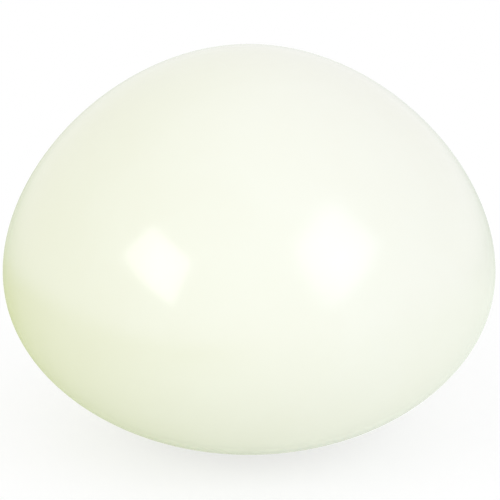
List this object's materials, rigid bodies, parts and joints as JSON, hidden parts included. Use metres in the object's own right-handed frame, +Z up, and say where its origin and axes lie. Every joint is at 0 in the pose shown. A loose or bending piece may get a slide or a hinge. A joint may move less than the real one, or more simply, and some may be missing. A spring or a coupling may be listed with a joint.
{
  "type": "oval cue ball",
  "caption": "Glossy ivory-white cue ball of lopsided oval form, wider than tall with a flatter base, cast round a heavy core; wobbles when struck.",
  "frame": {"origin": "lowest point of the base, on the upright axis of the ball", "axes": "+Z up along the axis that the ball is round about, from the flatter base to the crown; X and Y are level"},
  "size_m": [0.0572, 0.0572, 0.0463],
  "materials": {
    "white_resin": "cast ivory-white resin, ground and buffed to a gloss",
    "filled_resin": "mineral-filled casting resin, matt as cast"
  },
  "bodies": {
    "root": {"outer_casting": "white_resin", "weight_core": "filled_resin"}
  },
  "joints": []
}
